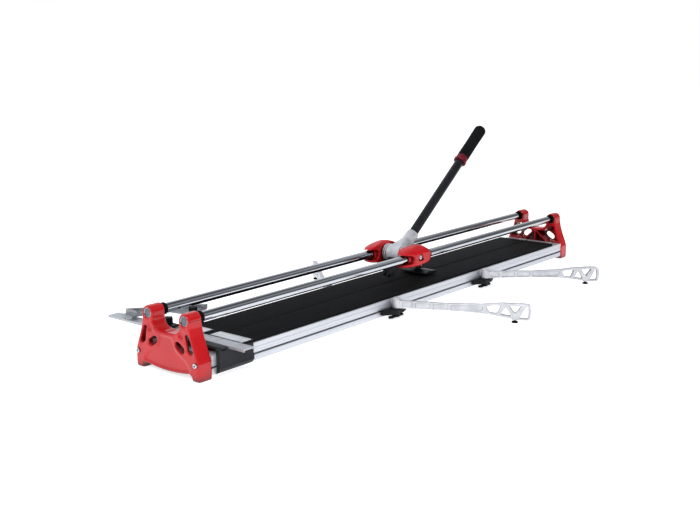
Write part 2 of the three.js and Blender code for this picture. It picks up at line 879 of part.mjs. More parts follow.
piece("set_square", squareSolid(), "castAluminium", squareSeat);
const squareKnob = unite(
  rod("z", SQUARE_LIFT - 1.4, SQUARE_LIFT + 5, 0, 0, 4, 16),
  alongZ(lobedOutline(12, 5, 2), SQUARE_LIFT + 3.7, 94),
);
const knobSeat = new THREE.Group();
knobSeat.position.set(SQUARE_KNOB_AT[0], SQUARE_KNOB_AT[1], 0);
squareSeat.add(knobSeat);
piece("square_knob", squareKnob, "blackPlastic", knobSeat);

// ---------------------------------------------------------------- swing arms

function armOutline() {
  return outline([
    [4, 31],
    [155, 29],
    [242, 24.5],
    [325, 13],
    [346, 9],
    [373, 8.5],
    [ARM_LENGTH, 13],
    [ARM_LENGTH + 2, 32],
    [ARM_LENGTH, 51],
    [374, 56],
    [350, 57.5],
    [296, 57],
    [248, 52],
    [155, 50],
    [4, ARM_TOP],
  ]);
}

// Windows of the arm's lattice, from the neck to the tip.
const ARM_WINDOWS = [
  [
    [255, 45],
    [266, 28],
    [286, 26],
    [296, 49],
    [275, 48],
  ],
  [
    [297, 24],
    [326, 19.5],
    [311, 45],
  ],
  [
    [321, 49],
    [337, 27],
    [355, 50],
  ],
  [
    [350, 14.5],
    [373, 14],
    [374, 32],
    [373, 48],
    [368, 48],
  ],
];

function armSolid() {
  const half = ARM_THICKNESS / 2;
  const beam = alongY(fixWinding(armOutline()), -half, half);
  const barrel = rod("z", ARM_BARREL_BOTTOM, ARM_BARREL_TOP, 0, 0, 13, 20);
  const boss = rod("z", 9, 30, ARM_FOOT_AT, 0, 9.5, 20);
  const windows = ARM_WINDOWS.map((points) => alongY(fixWinding(outline(points)), -10, 10));
  return cut(
    unite(beam, barrel, boss),
    ...windows,
    rod("z", 20, 60, 0, 0, TRUNNION_RADIUS + GAP),
    rod("z", 0, 26, ARM_FOOT_AT, 0, 4.3, 12),
  );
}

// Black bracket in its own frame: pivot at the origin, table towards +y.
function bracketSolid() {
  const reach = ARM_PIVOT_Y - PROFILE_OUTER - 0.4;
  const body = alongZ(
    fixWinding(
      outline([
        [-55, reach],
        [-55, 8],
        [-40, -6],
        [-16, -15],
        [16, -15],
        [40, -6],
        [55, 8],
        [55, reach],
      ]),
    ),
    17,
    BRACKET_TOP,
  );
  const clearTop = box(-60, 60, reach - 1, reach + 30, 30, 70);
  const tongue = box(-50, 50, reach - 2, ARM_PIVOT_Y - 105, SLOT_BOTTOM + GAP, SLOT_TOP - GAP);
  const head = box(-50, 50, ARM_PIVOT_Y - 105, ARM_PIVOT_Y - 99, 21, 34);
  const pin = unite(
    rod("z", 28, ARM_BARREL_TOP + 1, 0, 0, TRUNNION_RADIUS, 20),
    rod("z", ARM_BARREL_TOP + GAP, ARM_BARREL_TOP + 3, 0, 0, 10, 20),
  );
  return cut(unite(body, tongue, head, pin), clearTop, rod("z", 12, 26, 0, ARM_KNOB_Y, 4.3, 12));
}

// Wing knob under the bracket, in its own frame: screw on the Z axis.
function armKnobSolid() {
  const wings = alongZ(capsule(-27, 0, 27, 0, 8), 4.4, 9.7);
  return unite(wings, rod("z", 4.4, 16.6, 0, 0, 11, 16), rod("z", 16, 25, 0, 0, 4, 12));
}

function footSolid() {
  return unite(rod("z", 4.5, 22, 0, 0, 4, 12), rod("z", 0.4, 5, 0, 0, 9.5, 16, 9));
}

const arm = armSolid();
const bracket = bracketSolid();
const screwFoot = footSolid();
const armKnob = armKnobSolid();

for (const [name, x, sign, angle] of ARMS) {
  const seat = new THREE.Group();
  seat.position.set(x, sign * ARM_PIVOT_Y, 0);
  fromFloor.add(seat);
  const clamp = new THREE.Group();
  clamp.rotation.z = sign > 0 ? Math.PI : 0;
  seat.add(clamp);
  piece("arm_bracket_" + name, bracket, "blackPlastic", clamp);
  const screw = new THREE.Group();
  screw.position.y = ARM_KNOB_Y;
  clamp.add(screw);
  piece("arm_knob_" + name, armKnob, "blackPlastic", screw);
  const swing = new THREE.Group();
  swing.rotation.z = THREE.MathUtils.degToRad(angle);
  seat.add(swing);
  piece("support_arm_" + name, arm, "castAluminium", swing);
  const toe = new THREE.Group();
  toe.position.x = ARM_FOOT_AT;
  swing.add(toe);
  piece("arm_foot_" + name, screwFoot, "rubber", toe);
}

export default machine;
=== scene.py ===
# Looks of the manual tile cutter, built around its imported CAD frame.
#
# Shapes are written in millimetres with heights measured from the floor; to_row() turns them into
# the row frame, which is in metres with its origin on top of the breaking rib. X runs along the cut,
# Y across it (right is -Y), and the lateral stop is at the near (-X) end.

import json
import math

import bmesh
import bpy
import numpy as np
from mathutils import Matrix, Vector


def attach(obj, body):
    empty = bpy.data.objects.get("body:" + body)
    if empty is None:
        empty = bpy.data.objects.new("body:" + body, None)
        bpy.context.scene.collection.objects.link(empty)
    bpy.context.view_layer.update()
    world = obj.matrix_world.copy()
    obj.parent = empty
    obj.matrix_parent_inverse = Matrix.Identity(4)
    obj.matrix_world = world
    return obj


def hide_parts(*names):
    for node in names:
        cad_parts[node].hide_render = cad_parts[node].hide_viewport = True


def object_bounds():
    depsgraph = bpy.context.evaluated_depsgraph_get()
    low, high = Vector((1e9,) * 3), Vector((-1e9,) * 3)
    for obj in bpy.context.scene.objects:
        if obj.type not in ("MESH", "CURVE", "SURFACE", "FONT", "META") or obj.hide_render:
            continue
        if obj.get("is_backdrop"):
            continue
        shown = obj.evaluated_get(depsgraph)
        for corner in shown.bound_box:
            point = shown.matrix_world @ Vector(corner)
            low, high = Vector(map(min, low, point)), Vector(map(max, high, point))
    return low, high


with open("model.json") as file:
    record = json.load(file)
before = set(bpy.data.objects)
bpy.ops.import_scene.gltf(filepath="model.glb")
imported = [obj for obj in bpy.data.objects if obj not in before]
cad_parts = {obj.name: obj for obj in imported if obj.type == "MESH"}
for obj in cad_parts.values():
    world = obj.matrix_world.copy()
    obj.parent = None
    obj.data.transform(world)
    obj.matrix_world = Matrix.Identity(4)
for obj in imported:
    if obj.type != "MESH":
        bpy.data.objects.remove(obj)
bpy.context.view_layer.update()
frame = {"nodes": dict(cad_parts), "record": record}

MM = 0.001
RIB_TOP = 65.0

# ---------------------------------------------------------------- sizes shared with the CAD frame

SUPPORT_FACE = 912  # outer and inner faces of the end supports, from mid length
SUPPORT_INNER = 868
RAIL_Y = 65
RAIL_H = 143
RAIL_R = 12.5
RAIL_END = 910
BUFFER_LENGTH = 12
BUFFER_R = 15.4
BUFFER_BORE_R = 12.9
PAD_TOP = 64
PAD_HALF_LENGTH = 811
RIB_HALF_LENGTH = 812
BOLT_Y = 102
BOLT_H = 42

PIVOT = (15, 147)  # x, h of the lever's hinge line
SHAFT_R = 8
SHAFT_BORE_R = 8.4
HUB_R = 26
ADJUSTER_FACE = 86
ADJUSTER_H = 145
WHEEL = (-25, 88)  # x, h of the wheel's axle
WHEEL_R = 10.5
FOOT_PIN = (128, 91)
MOUTH = (98, 196)  # x, h where the tube enters the lever's socket
HANDLE_TILT = math.radians(90 - 37.6)
TUBE_R = 14.3
HEAD_SCREW = (79, 180.5)
GRIP_START = 346  # along the tube from the socket's mouth
GRIP_END = 491
GRIP_R = 19.6
COLLAR_BORE_R = 14.65

STOP_NEAR = -845  # the lateral stop's beam along x
STOP_FAR = -738
STOP_FLOOR = 66.1
PLATE_NEAR = -780  # the scale plates along x
PLATE_FAR = -745
LOCK = (-807, 110)
SQUARE_KNOB = (-676, 161)

ARM_PIVOT_Y = 128
ARM_FOOT_AT = 337  # levelling foot, from the arm's pivot
# name, x of the pivot, side, angle of the arm in degrees
ARMS = [
    ("near_right", -158, -1, -60),
    ("far_right", 322, -1, -43.5),
    ("near_left", -158, 1, 47.5),
    ("far_left", 322, 1, 35.5),
]
SIDES = [("right", -1), ("left", 1)]
ENDS = [("near", -1), ("far", 1)]

# ---------------------------------------------------------------- mesh helpers


def to_row(point):
    return Vector((point[0], point[1], point[2] - RIB_TOP)) * MM


def object_from(name, bm):
    """A scene object from a bmesh, with its faces turned outwards."""
    bmesh.ops.recalc_face_normals(bm, faces=bm.faces)
    mesh = bpy.data.meshes.new(name)
    bm.to_mesh(mesh)
    bm.free()
    made = bpy.data.objects.new(name, mesh)
    bpy.context.scene.collection.objects.link(made)
    return made


def cad(name, node):
    """A copy of a CAD node's mesh, welded, to be refined into a piece."""
    bm = bmesh.new()
    bm.from_mesh(frame["nodes"][node].data)
    bmesh.ops.remove_doubles(bm, verts=bm.verts, dist=2e-6)
    return object_from(name, bm)


STRAIGHT = math.radians(172)  # a corner flatter than this stays as it is
CORNER_ROOM = 0.45  # the most of a side that one corner's arc may take


def rounded(points, radius, steps=3):
    """An outline with an arc of up to that radius at every corner."""
    result = []
    count = len(points)
    for i in range(count):
        before, corner, after = (Vector(points[k % count]) for k in (i - 1, i, i + 1))
        to_before, to_after = before - corner, after - corner
        room = min(to_before.length, to_after.length) * CORNER_ROOM
        angle = to_before.angle(to_after)
        if angle > STRAIGHT or room < 1e-3:
            result.append(tuple(corner))
            continue
        reach = min(room, radius / math.tan(angle / 2))
        start = corner + to_before.normalized() * reach
        end = corner + to_after.normalized() * reach
        for k in range(steps + 1):
            t = k / steps
            point = start * (1 - t) ** 2 + corner * 2 * t * (1 - t) + end * t**2
            result.append(tuple(point))
    return result


def prism(name, outline, axis, low, high):
    """An outline extruded along "x" (given as y, h), "y" (as x, h) or "z" (as x, y)."""
    spread = {
        "x": lambda a, b, c: (c, a, b),
        "y": lambda a, b, c: (a, c, b),
        "z": lambda a, b, c: (a, b, c),
    }[axis]
    bm = bmesh.new()
    rings = []
    for level in (low, high):
        rings.append([bm.verts.new(to_row(spread(a, b, level))) for a, b in outline])
    bm.faces.new(rings[0])
    bm.faces.new(rings[1])
    count = len(outline)
    for i in range(count):
        j = (i + 1) % count
        bm.faces.new((rings[0][i], rings[0][j], rings[1][j], rings[1][i]))
    return object_from(name, bm)


def box(name, x0, x1, y0, y1, h0, h1):
    """A plain block, used only to cut or join other shapes."""
    return prism(name, [(x0, y0), (x1, y0), (x1, y1), (x0, y1)], "z", h0, h1)


# Turns the z axis onto the axis that a lathe piece is made about.
ALONG = {
    "x": Matrix.Rotation(math.pi / 2, 4, "Y"),
    "y": Matrix.Rotation(-math.pi / 2, 4, "X"),
    "z": Matrix.Identity(4),
    "handle": Matrix.Rotation(HANDLE_TILT, 4, "Y"),
}


def lathe(name, profile, at, axis="z", sides=64, ring=False, flute=None):
    """Turns (radius, distance) points about an axis through a point. ring closes the profile on itself;
    flute takes an angle and a distance and gives how far the surface sinks there."""
    place = Matrix.Translation(Vector(at)) @ ALONG[axis]
    bm = bmesh.new()
    loops = []
    for radius, distance in profile:
        if radius < 1e-6:
            loops.append([bm.verts.new(to_row(place @ Vector((0, 0, distance))))])
            continue
        loop = []
        for k in range(sides):
            angle = 2 * math.pi * k / sides
            r = radius if flute is None else radius - flute(angle, distance)
            local = Vector((r * math.cos(angle), r * math.sin(angle), distance))
            loop.append(bm.verts.new(to_row(place @ local)))
        loops.append(loop)
    pairs = list(zip(loops, loops[1:]))
    if ring:
        pairs.append((loops[-1], loops[0]))
    for a, b in pairs:
        for k in range(sides):
            n = (k + 1) % sides
            if len(a) == 1 and len(b) == 1:
                break
            if len(a) == 1:
                bm.faces.new((a[0], b[k], b[n]))
            elif len(b) == 1:
                bm.faces.new((a[k], a[n], b[0]))
            else:
                bm.faces.new((a[k], a[n], b[n], b[k]))
    return object_from(name, bm)


def settle(made):
    """Applies an object's modifiers to its mesh."""
    bpy.context.view_layer.update()
    graph = bpy.context.evaluated_depsgraph_get()
    mesh = bpy.data.meshes.new_from_object(made.evaluated_get(graph))
    made.modifiers.clear()
    made.data = mesh
    return made


def combine(made, tools, operation):
    for tool in tools:
        step = made.modifiers.new("combine", "BOOLEAN")
        step.operation = operation
        step.solver = "EXACT"
        step.object = tool
    settle(made)
    for tool in tools:
        bpy.data.objects.remove(tool)
    return made


def add(made, *tools):
    return combine(made, tools, "UNION")


def cut(made, *tools):
    return combine(made, tools, "DIFFERENCE")


def merge(made, *others):
    """Puts the others' faces into the first object, for a remesh to fuse."""
    bm = bmesh.new()
    bm.from_mesh(made.data)
    for other in others:
        bm.from_mesh(other.data)
        bpy.data.objects.remove(other)
    bm.to_mesh(made.data)
    bm.free()
    return made


def remesh(made, voxel):
    """Fuses everything in the mesh into one even skin of voxel-sized faces."""
    step = made.modifiers.new("remesh", "REMESH")
    step.mode = "VOXEL"
    step.voxel_size = voxel * MM
    step.adaptivity = 0
    return settle(made)


def relax(made, rounds, weight=None, amount=0.5):
    """Moves every vertex towards its neighbours' mean, which rounds edges as a casting's are.
    weight gives each vertex's share from its x, y and h in millimetres."""
    mesh = made.data
    count = len(mesh.vertices)
    at = np.zeros(count * 3)
    mesh.vertices.foreach_get("co", at)
    at = at.reshape(-1, 3)
    ends = np.zeros(len(mesh.edges) * 2, np.int64)
    mesh.edges.foreach_get("vertices", ends)
    a, b = ends.reshape(-1, 2).T
    degree = np.bincount(a, minlength=count) + np.bincount(b, minlength=count)
    share = amount
    if weight is not None:
        x, y, h = at[:, 0] / MM, at[:, 1] / MM, at[:, 2] / MM + RIB_TOP
        share = (amount * np.clip(weight(x, y, h), 0, 1))[:, None]
    for _ in range(rounds):
        total = np.zeros_like(at)
        for k in range(3):
            total[:, k] = np.bincount(a, at[b, k], count) + np.bincount(b, at[a, k], count)
        at = at + share * (total / degree[:, None] - at)
    mesh.vertices.foreach_set("co", at.ravel())
    mesh.update()
    return made


def bevel(made, width, segments=2, angle=35):
    """Rounds every edge sharper than the angle, after flat faces are joined."""
    bm = bmesh.new()
    bm.from_mesh(made.data)
    bmesh.ops.dissolve_limit(
        bm, angle_limit=math.radians(1), verts=bm.verts, edges=bm.edges, use_dissolve_boundaries=False
    )
    bm.to_mesh(made.data)
    bm.free()
    step = made.modifiers.new("bevel", "BEVEL")
    step.width = width * MM
    step.segments = segments
    step.limit_method = "ANGLE"
    step.angle_limit = math.radians(angle)
    return settle(made)


# ---------------------------------------------------------------- materials


class Surface:
    """A procedural material: a Principled shader fed by small node chains in object coordinates."""

    def __init__(self, name, roughness=0.5, metallic=0.0, **sockets):
        self.material = bpy.data.materials.new(name)
        self.material.use_nodes = True
        self.tree = self.material.node_tree
        self.shader = self.tree.nodes["Principled BSDF"]
        self.coords = self.tree.nodes.new("ShaderNodeTexCoord").outputs["Object"]
        self.shader.inputs["Roughness"].default_value = roughness
        self.shader.inputs["Metallic"].default_value = metallic
        for key, value in sockets.items():
            self.shader.inputs[key.replace("_", " ")].default_value = value
        self.height = None

    def node(self, kind, **settings):
        made = self.tree.nodes.new(kind)
        for key, value in settings.items():
            setattr(made, key, value)
        return made

    def join(self, output, target):
        self.tree.links.new(output, target)

    def scaled(self, scale):
        mapping = self.node("ShaderNodeMapping")
        mapping.inputs["Scale"].default_value = scale if hasattr(scale, "__len__") else (scale,) * 3
        self.join(self.coords, mapping.inputs["Vector"])
        return mapping.outputs["Vector"]

    def noise(self, scale, detail=3.0, rough=0.55):
        made = self.node("ShaderNodeTexNoise")
        self.join(self.scaled(scale), made.inputs["Vector"])
        made.inputs["Scale"].default_value = 1.0
        made.inputs["Detail"].default_value = detail
        made.inputs["Roughness"].default_value = rough
        return made.outputs["Fac"]

    def cells(self, scale):
        made = self.node("ShaderNodeTexVoronoi")
        self.join(self.scaled(scale), made.inputs["Vector"])
        made.inputs["Scale"].default_value = 1.0
        return made.outputs["Distance"]

    def ramp(self, value, *stops):
        made = self.node("ShaderNodeValToRGB")
        self.join(value, made.inputs["Fac"])
        ramp = made.color_ramp
        while len(ramp.elements) < len(stops):
            ramp.elements.new(0.5)
        for element, (position, color) in zip(ramp.elements, stops):
            element.position = position
            element.color = (*color, 1) if hasattr(color, "__len__") else (color,) * 3 + (1,)
        return made.outputs["Color"]

    def math(self, operation, a, b=None, clamp=False):
        made = self.node("ShaderNodeMath", operation=operation, use_clamp=clamp)
        for socket, value in zip(made.inputs, (a, b)):
            if value is None:
                continue
            if isinstance(value, (int, float)):
                socket.default_value = value
            else:
                self.join(value, socket)
        return made.outputs[0]

    def position(self, axis):
        made = self.node("ShaderNodeSeparateXYZ")
        self.join(self.coords, made.inputs[0])
        return made.outputs[axis]

    def edges(self, low, high):
        """1 along outward edges, 0 on flats."""
        point = self.node("ShaderNodeNewGeometry").outputs["Pointiness"]
        return self.ramp(point, (low, 0.0), (high, 1.0))

    def hollows(self, low, high):
        """1 in grooves and inner corners, 0 on flats; it marks where shade is painted in."""
        point = self.node("ShaderNodeNewGeometry").outputs["Pointiness"]
        return self.ramp(point, (low, 1.0), (high, 0.0))

    def crowded(self, reach, low, high):
        """1 where other surfaces close in within the reach, as in mouths and behind ribs, 0 in the open; it
        marks where shade is painted in.
        """
        made = self.node("ShaderNodeAmbientOcclusion", samples=8)
        made.inputs["Distance"].default_value = reach * MM
        return self.ramp(made.outputs["AO"], (low, 1.0), (high, 0.0))

    def mix(self, factor, a, b):
        made = self.node("ShaderNodeMix", data_type="RGBA")
        self.join(factor, made.inputs["Factor"])
        for socket, value in ((made.inputs[6], a), (made.inputs[7], b)):
            if hasattr(value, "__len__"):
                socket.default_value = (*value, 1)
            else:
                self.join(value, socket)
        return made.outputs[2]

    def paint(self, color):
        self.join(color, self.shader.inputs["Base Color"])

    def gloss(self, value, low, high):
        made = self.node("ShaderNodeMapRange")
        self.join(value, made.inputs["Value"])
        made.inputs["To Min"].default_value = low
        made.inputs["To Max"].default_value = high
        self.join(made.outputs[0], self.shader.inputs["Roughness"])

    def bump(self, value, distance, strength=1.0):
        made = self.node("ShaderNodeBump")
        made.inputs["Strength"].default_value = strength
        made.inputs["Distance"].default_value = distance * MM
        self.join(value, made.inputs["Height"])
        if self.height is not None:
            self.join(self.height, made.inputs["Normal"])
        self.height = made.outputs["Normal"]
        self.join(self.height, self.shader.inputs["Normal"])


def red_paint(name="red_paint", coat_weight=0.6):
    """Glossy powder coat on a casting, with painted shade in its hollows and mouths and a little lighter on
    worn edges.
    """
    s = Surface(name, 0.4, 0.0, Coat_Weight=coat_weight, Coat_Roughness=0.05, Specular_IOR_Level=0.12)
    tone = s.ramp(s.noise(14), (0.3, (0.42, 0.003, 0.006)), (0.7, (0.49, 0.005, 0.009)))
    worn = s.math("MULTIPLY", s.edges(0.53, 0.60), s.noise(220))
    # Painted shade: the red goes almost black where other surfaces close in, and dark in grooves and inner
    # corners.
    ao_shade = s.mix(s.crowded(40, 0.40, 0.82), tone, (0.07, 0.0006, 0.0015))
    shaded = s.mix(s.hollows(0.40, 0.485), ao_shade, (0.14, 0.001, 0.003))
    s.paint(s.mix(worn, shaded, (0.60, 0.03, 0.03)))
    s.gloss(s.noise(60), 0.3, 0.42)
    s.bump(s.noise(500, 2.0), 0.12, 0.5)
    s.bump(s.noise(60, 2.0), 0.5, 0.35)
    return s.material


def chrome(name="rail_chrome", low=0.05, high=0.12):
    """Ground and plated bar, with fine streaks along X."""
    s = Surface(name, 0.08, 1.0)
    s.paint(s.ramp(s.noise((3, 90, 90)), (0.3, (0.40, 0.42, 0.45)), (0.7, (0.52, 0.54, 0.58))))
    s.gloss(s.noise((6, 300, 300), 2.0), low, high)
    s.bump(s.noise((12, 900, 900), 2.0), 0.03, 0.4)
    return s.material


def extruded_aluminium(name="profile_aluminium", tone=1.0):
    """Anodised extrusion with drawing lines along X."""
    s = Surface(name, 0.36, 0.55)
    dark = (tone * 0.47, tone * 0.49, tone * 0.53)
    light = (tone * 0.58, tone * 0.60, tone * 0.65)
    s.paint(s.ramp(s.noise((2, 160, 160)), (0.3, dark), (0.7, light)))
    s.gloss(s.noise((5, 700, 700), 3.0), 0.28, 0.46)
    s.bump(s.noise((8, 1600, 1600), 2.0), 0.05, 0.6)
    return s.material


def cast_aluminium():
    """Blasted casting: mottled, with painted shade in hollows and mouths, bright on edges worn by rubbing."""
    s = Surface("cast_aluminium", 0.5, 0.6)
    tone = s.ramp(s.noise(45, 4.0), (0.34, (0.46, 0.47, 0.50)), (0.66, (0.60, 0.61, 0.64)))
    # Painted shade: the metal goes dark grey where other surfaces close in, and in grooves and inner corners.
    ao_shade = s.mix(s.crowded(18, 0.35, 0.80), tone, (0.13, 0.135, 0.15))
    hollow_shade = s.mix(s.hollows(0.42, 0.49), ao_shade, (0.14, 0.145, 0.16))
    s.paint(s.mix(s.edges(0.52, 0.6), hollow_shade, (0.74, 0.75, 0.77)))
    s.gloss(s.noise(90), 0.42, 0.6)
    s.bump(s.noise(900, 3.0), 0.12, 0.7)
    s.bump(s.cells(700), 0.08, 0.4)
    return s.material


def steel():
    """Turned steel."""
    s = Surface("plain_steel", 0.3, 1.0)
    s.paint(s.ramp(s.noise(120), (0.3, (0.45, 0.45, 0.459)), (0.7, (0.5625,) * 3)))
    s.gloss(s.noise((900, 60, 60), 2.0), 0.22, 0.38)
    s.bump(s.noise((1500, 200, 200), 2.0), 0.04, 0.5)
    return s.material


def rubber(name, tone=0.0035, grain=1400):
    """Dull black rubber with a fine cell grain, paler along its edges: partly wear, partly a painted
    highlight.
    """
    s = Surface(name, 0.75, 0.0, Specular_IOR_Level=0.04)
    low, high = (tone * 0.8, tone * 0.85, tone * 0.95), (tone * 1.3, tone * 1.4, tone * 1.55)
    dark = s.ramp(s.noise(18), (0.3, low), (0.7, high))
    # Edges painted about three times as light: wear and a painted highlight together.
    s.paint(s.mix(s.edges(0.53, 0.62), dark, (tone * 3.2, tone * 3.4, tone * 3.8)))
    s.gloss(s.noise(200), 0.6, 0.85)
    s.bump(s.cells(grain), 0.15, 0.6)
    s.bump(s.noise(300, 3.0), 0.08, 0.5)
    return s.material


def plastic(name="black_plastic", tone=0.007):
    """Spark-textured moulded plastic, with a painted highlight along its edges."""
    s = Surface(name, 0.5, 0.0, Specular_IOR_Level=0.1)
    low, high = (tone * 0.8, tone * 0.9, tone * 1.05), (tone * 1.2, tone * 1.32, tone * 1.55)
    dark = s.ramp(s.noise(30), (0.3, low), (0.7, high))
    # Painted highlight: edges are painted about three times as light as the flats.
    s.paint(s.mix(s.edges(0.53, 0.62), dark, (tone * 3, tone * 3.2, tone * 3.6)))
    s.gloss(s.noise(150), 0.42, 0.6)
    s.bump(s.cells(1100), 0.1, 0.5)
    return s.material


def coat(name, tone, low=0.28, high=0.42):
    """Satin paint of one tone, with edges painted lighter: partly worn paint, partly a painted highlight."""
    s = Surface(name, 0.35, 0.0, Specular_IOR_Level=0.14)
    lighter = tuple(min(1.0, c * 1.5 + 0.004) for c in tone)
    # Edges painted three times as light: worn paint and a painted highlight together.
    edge_wear_and_highlight = tuple(c * 3 + 0.02 for c in tone)
    s.paint(s.mix(s.edges(0.53, 0.62), s.ramp(s.noise(40), (0.3, tone), (0.7, lighter)), edge_wear_and_highlight))
    s.gloss(s.noise(120), low, high)
    s.bump(s.noise(700, 2.0), 0.08, 0.5)
    return s.material


def printed_scale():
    """Satin aluminium with plain rule marks across it: one every 2 mm, longer ones every 10 mm."""
    s = Surface("scale_plate", 0.35, 0.9)
    y, x = s.position("Y"), s.position("X")
    across = s.math("MULTIPLY", s.math("ADD", x, -PLATE_NEAR * MM), 1 / ((PLATE_FAR - PLATE_NEAR) * MM))

    def marks(pitch, width):
        always_positive = s.math("ADD", y, 10.0)
        phase = s.math("FRACT", s.math("MULTIPLY", always_positive, 1 / (pitch * MM)))
        return s.math("LESS_THAN", phase, width / pitch)

    short = s.math("MULTIPLY", marks(2, 0.45), s.math("GREATER_THAN", across, 0.80))
    middle = s.math("MULTIPLY", marks(10, 0.6), s.math("GREATER_THAN", across, 0.62))
    edge = s.math("LESS_THAN", across, 0.96)
    ink = s.math("MULTIPLY", s.math("MAXIMUM", short, middle), edge, clamp=True)
    metal = s.ramp(s.noise((160, 3, 160)), (0.3, (0.60, 0.62, 0.65)), (0.7, (0.76, 0.78, 0.81)))
    s.paint(s.mix(ink, metal, (0.03, 0.03, 0.035)))
    s.gloss(s.noise((700, 6, 700)), 0.3, 0.45)
    s.bump(s.noise((1500, 12, 1500)), 0.03, 0.5)
    return s.material


LOOKS = {
    "red_paint": red_paint(),
    "cheek_paint": red_paint("cheek_paint", 0.28),
    "rail_chrome": chrome(),
    "bolt_chrome": chrome("bolt_chrome", 0.12, 0.25),
    "profile_aluminium": extruded_aluminium(),
    "cast_aluminium": cast_aluminium(),
    "plain_steel": steel(),
    "table_rubber": rubber("table_rubber"),
    "grip_rubber": rubber("grip_rubber", 0.006, 1800),
    "black_plastic": plastic(),
    "black_paint": coat("black_paint", (0.004, 0.0045, 0.006)),
    "dark_red": coat("dark_red", (0.10, 0.004, 0.012), 0.2, 0.3),
    "rail_plug": plastic("rail_plug", 0.07),
    "scale_plate": printed_scale(),
    "stop_aluminium": extruded_aluminium("stop_aluminium", 0.75),
    # The square's aluminium is the profile's at half tone: painted shade on the same metal.
    "square_aluminium": extruded_aluminium("square_aluminium", 0.5),
}

body_of = {}
for body_name, members in frame["record"]["behaviour"]["bodies"].items():
    for member in members:
        body_of[member] = body_name
slot_of = {entry["node"]: entry["material_slot"] for entry in frame["record"]["subparts"]}


def finish_piece(made, node, look=None, crease=32, stands_for=True):
    """Gives a piece its material, shading and body. It takes the CAD node's place, unless it only adds
    to another piece that does."""
    slot = slot_of[node]
    made.data.materials.clear()
    made.data.materials.append(LOOKS[look or slot])
    made.data.set_sharp_from_angle(angle=math.radians(crease))
    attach(made, body_of[node])
    if stands_for:
        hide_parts(node)
    return made


for node_name, node in frame["nodes"].items():
    node.data.materials.clear()
    node.data.materials.append(LOOKS[slot_of[node_name]])

# ---------------------------------------------------------------- camera, floor and light

camera = bpy.data.objects.new("camera", bpy.data.cameras.new("camera"))
bpy.context.scene.collection.objects.link(camera)
camera.location = (-2.468, -1.834, 0.725)
camera.rotation_euler = (math.radians(77.56), math.radians(0.19), math.radians(-50.93))
camera.data.lens = 52.97
camera.data.sensor_width = 36
camera.data.clip_end = 100
bpy.context.scene.camera = camera

FLOOR_HALF = 14.0
FLOOR_GAP = 0.0004
FLOOR_GLOW = 0.72


def floor_plane():
    """A pale floor that glows a little, so that it fades into the white background."""
    bm = bmesh.new()
    bmesh.ops.create_grid(bm, x_segments=8, y_segments=8, size=FLOOR_HALF)
    bmesh.ops.translate(bm, verts=bm.verts, vec=(0, 0, -RIB_TOP * MM - FLOOR_GAP))
    made = object_from("floor", bm)
    s = Surface("floor", 0.9, 0.0, Specular_IOR_Level=0.0)
    s.paint(s.ramp(s.noise(3), (0.3, (0.80, 0.80, 0.80)), (0.7, (0.82, 0.82, 0.82))))
    s.shader.inputs["Emission Color"].default_value = (1, 1, 1, 1)
    s.shader.inputs["Emission Strength"].default_value = FLOOR_GLOW
    made.data.materials.append(s.material)
    made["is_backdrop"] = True


floor_plane()

# Brightness of the sky by the sine of its elevation, and the extra light from behind the machine.
SKY = [
    (0.0, 0.18), (0.10, 0.30), (0.20, 0.16), (0.42, 0.20), (0.54, 0.50), (0.68, 0.46), (0.77, 0.16),
    (0.92, 0.12), (0.98, 0.45), (1.0, 0.55),
]
BACK = [(0.06, 0.0), (0.22, 0.35), (0.65, 0.80)]


def studio_world():
    """White behind the machine; its reflections and soft light come from the sky's bands."""
    world = bpy.data.worlds.new("studio")
    bpy.context.scene.world = world
    world.use_nodes = True
    tree = world.node_tree
    tree.nodes.clear()

    def make(kind, **settings):
        made = tree.nodes.new(kind)
        for key, value in settings.items():
            setattr(made, key, value)
        return made

    def levels(source, stops):
        ramp = make("ShaderNodeValToRGB")
        tree.links.new(source, ramp.inputs["Fac"])
        while len(ramp.color_ramp.elements) < len(stops):
            ramp.color_ramp.elements.new(0.5)
        for element, (position, level) in zip(ramp.color_ramp.elements, stops):
            element.position = position
            element.color = (level * 0.97, level, level * 1.04, 1)
        return ramp.outputs["Color"]

    coords = make("ShaderNodeTexCoord")
    split = make("ShaderNodeSeparateXYZ")
    tree.links.new(coords.outputs["Generated"], split.inputs[0])
    total = make("ShaderNodeVectorMath", operation="ADD")
    tree.links.new(levels(split.outputs["Z"], SKY), total.inputs[0])
    tree.links.new(levels(split.outputs["Y"], BACK), total.inputs[1])
    sky = make("ShaderNodeBackground")
    tree.links.new(total.outputs[0], sky.inputs["Color"])
    plain = make("ShaderNodeBackground")
    plain.inputs["Color"].default_value = (1, 1, 1, 1)
    seen = make("ShaderNodeLightPath")
    mix = make("ShaderNodeMixShader")
    tree.links.new(seen.outputs["Is Camera Ray"], mix.inputs["Fac"])
    tree.links.new(sky.outputs[0], mix.inputs[1])
    tree.links.new(plain.outputs[0], mix.inputs[2])
    tree.links.new(mix.outputs[0], make("ShaderNodeOutputWorld").inputs["Surface"])


studio_world()


def soft_light(name, location, target, width, height, power, glossy=True, diffuse=True):
    """An area light; one that isn't glossy shows in no reflection, one that isn't diffuse only there."""
    data = bpy.data.lights.new(name, "AREA")
    data.shape = "RECTANGLE"
    data.size, data.size_y = width, height
    data.energy = power
    lamp = bpy.data.objects.new(name, data)
    bpy.context.scene.collection.objects.link(lamp)
    lamp.location = location
    lamp.rotation_euler = (Vector(target) - Vector(location)).to_track_quat("-Z", "Y").to_euler()
    lamp.visible_glossy = glossy
    lamp.visible_diffuse = diffuse


